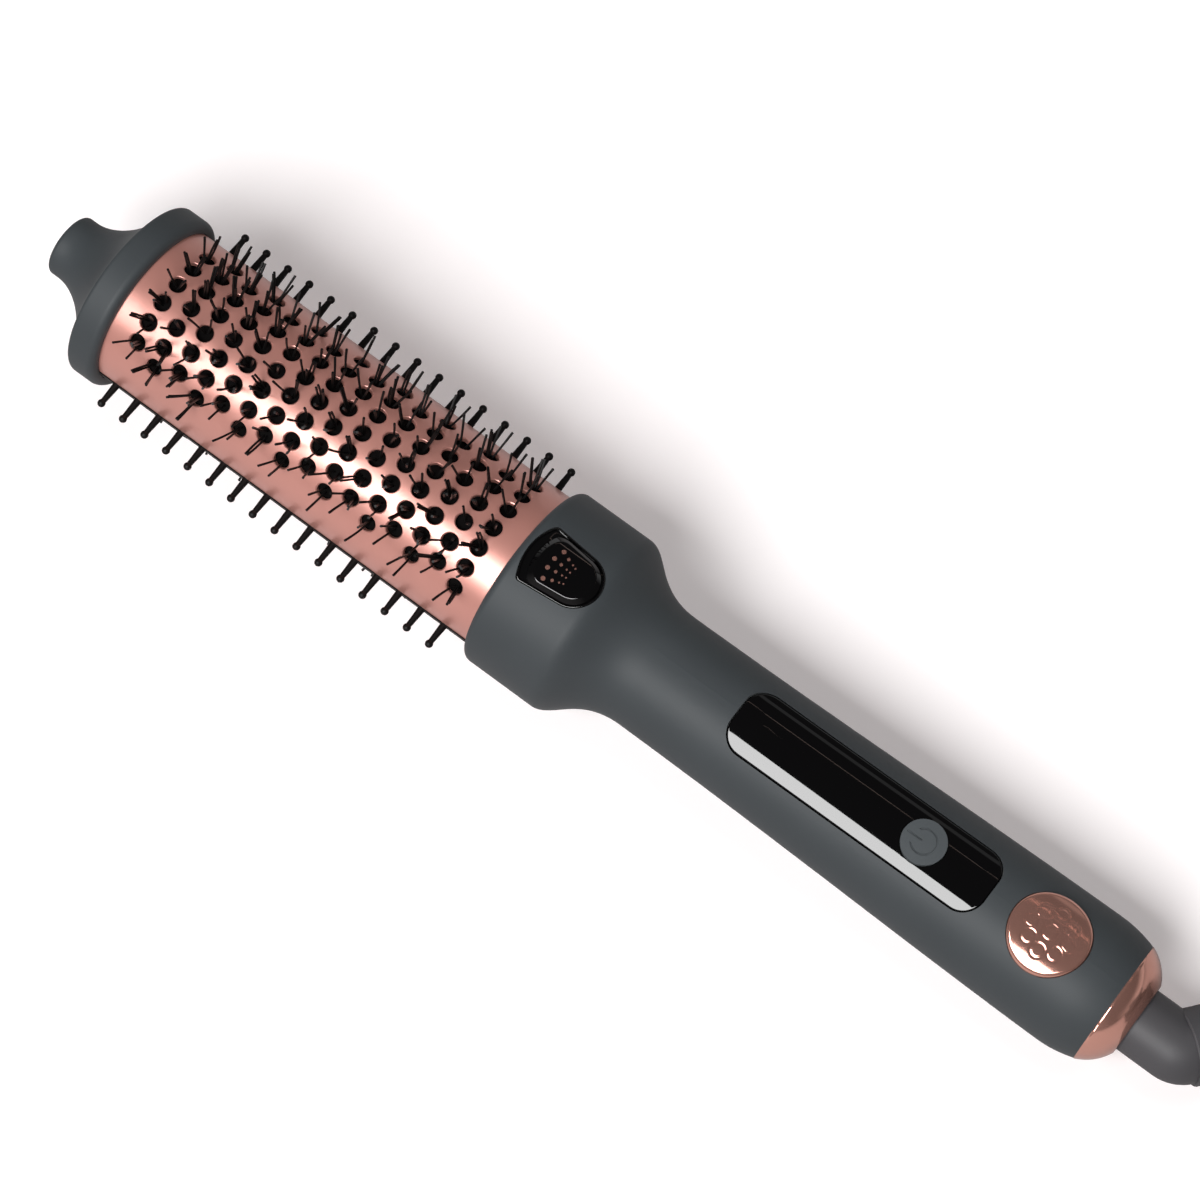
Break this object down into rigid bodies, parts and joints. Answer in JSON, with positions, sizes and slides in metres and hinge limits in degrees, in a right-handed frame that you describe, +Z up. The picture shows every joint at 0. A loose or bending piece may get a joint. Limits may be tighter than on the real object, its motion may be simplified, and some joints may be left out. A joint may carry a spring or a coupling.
{
  "type": "heated round brush",
  "caption": "Heated round hair brush: vented barrel with ball-tipped pins and bristles, cool tip, grip with lens panel and power button, and a swivel cord with a mains plug.",
  "frame": {"origin": "on the table under the middle of the brush's bounding box, without the cord", "axes": "+X along the brush from the cool tip to the cord end, +Z up out of the table on the control side, +Y to the left of the controls seen from the tail"},
  "size_m": [0.4906, 0.0699, 0.0542],
  "materials": {
    "soft_grey": "soft-touch matt dark grey",
    "black_plastic": "matt black plastic",
    "gloss_black": "gloss black",
    "rose_satin": "satin rose-gold coating on aluminium",
    "rose_polish": "polished rose gold",
    "button_grey": "satin grey",
    "aluminium": "extruded",
    "steel": "zinc plated",
    "brass": "bright",
    "ceramic": "white ceramic",
    "mica": "mica sheet",
    "board": "green solder mask",
    "silicone": "heat-proof silicone",
    "wire_jacket": "silicone-jacketed wire",
    "cord_grey": "matt dark grey",
    "heat_nylon": "black heat-proof nylon",
    "display": "display module"
  },
  "bodies": {
    "cord": {"swivel_neck": "cord_grey", "slip_rings": "brass", "strain_relief": "cord_grey", "cord": "cord_grey", "cord_hank": "cord_grey", "cord_end": "cord_grey", "cord_tie": "cord_grey", "plug_body": "cord_grey", "plug_pins": "brass"},
    "brush": {"tip_cap": "soft_grey", "tip_insert": "black_plastic", "tip_screws": "steel", "barrel_shell_upper": "rose_satin", "barrel_shell_lower": "rose_satin", "pin_strip_left": "heat_nylon", "pin_strip_right": "heat_nylon", "bristles_upper_front": "heat_nylon", "bristles_upper_back": "heat_nylon", "bristles_lower_front": "heat_nylon", "bristles_lower_back": "heat_nylon", "heat_spreader_upper": "aluminium", "heat_spreader_lower": "aluminium", "ceramic_heater": "ceramic", "mica_sheets": "mica", "thermistor": "ceramic", "thermal_fuse": "steel", "barrel_holder": "black_plastic", "barrel_screws": "steel", "barrel_gasket": "silicone", "handle_sleeve": "soft_grey", "ion_outlet_tray": "gloss_black", "ion_badge": "gloss_black", "ion_dots": "rose_polish", "display_lens": "gloss_black", "lens_gasket": "silicone", "medallion": "rose_polish", "end_ring": "rose_polish", "chassis_upper": "black_plastic", "chassis_lower": "black_plastic", "chassis_screws": "steel", "main_board": "board", "board_screws": "steel", "board_parts": "black_plastic", "film_capacitor": "mica", "board_header": "black_plastic", "display_board": "board", "display_module": "display", "tactile_switch": "black_plastic", "ion_generator": "black_plastic", "ion_needle_block": "ceramic", "heater_leads": "wire_jacket", "sensor_leads": "wire_jacket", "ion_lead": "wire_jacket", "swivel_housing_upper": "black_plastic", "swivel_housing_lower": "black_plastic", "slip_contacts": "brass", "mains_leads": "wire_jacket"},
    "button": {"power_button": "button_grey"}
  },
  "joints": [
    {"name": "cord_swivel", "type": "hinge", "parent": "cord", "child": "brush", "pos_m": [0.13242, 0, 0.01454], "axis": [0.9982, 0, -0.0599], "continuous": true},
    {"name": "power_button_press", "type": "slide", "parent": "brush", "child": "button", "axis": [-0.0599, 0, -0.9982], "range_m": [0, 0.0005], "stiffness_N_per_m": 1500, "springref_m": -0.0005}
  ]
}
